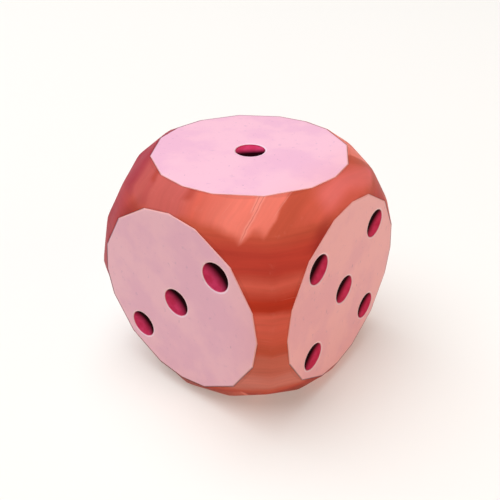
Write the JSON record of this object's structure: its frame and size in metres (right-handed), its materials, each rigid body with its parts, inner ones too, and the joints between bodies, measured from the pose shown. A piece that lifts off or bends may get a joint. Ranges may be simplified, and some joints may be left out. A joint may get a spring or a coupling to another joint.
{
  "type": "casino die",
  "caption": "Gaming die with strongly rounded corners: a ball-like red core, flat pale pink face plates and dished crimson pips, for rolling chance numbers.",
  "frame": {"origin": "centre of the die", "axes": "+Z out of the side with one pip, +X out of the side with five pips, -Y out of the side with three pips"},
  "size_m": [0.019, 0.019, 0.019],
  "materials": {
    "core_resin": "glossy terracotta-red resin with pale and dark drawn-out streaks",
    "plate_resin": "satin pale pink resin, faintly mottled, with fine scuffs",
    "pip_enamel": "glossy crimson enamel in a shallow dish"
  },
  "bodies": {
    "root": {"core": "core_resin", "face_plate_1": "plate_resin", "face_plate_2": "plate_resin", "face_plate_3": "plate_resin", "face_plate_4": "plate_resin", "face_plate_5": "plate_resin", "face_plate_6": "plate_resin", "pip_1_1": "pip_enamel", "pip_2_1": "pip_enamel", "pip_2_2": "pip_enamel", "pip_3_1": "pip_enamel", "pip_3_2": "pip_enamel", "pip_3_3": "pip_enamel", "pip_4_1": "pip_enamel", "pip_4_2": "pip_enamel", "pip_4_3": "pip_enamel", "pip_4_4": "pip_enamel", "pip_5_1": "pip_enamel", "pip_5_2": "pip_enamel", "pip_5_3": "pip_enamel", "pip_5_4": "pip_enamel", "pip_5_5": "pip_enamel", "pip_6_1": "pip_enamel", "pip_6_2": "pip_enamel", "pip_6_3": "pip_enamel", "pip_6_4": "pip_enamel", "pip_6_5": "pip_enamel", "pip_6_6": "pip_enamel"}
  },
  "joints": []
}
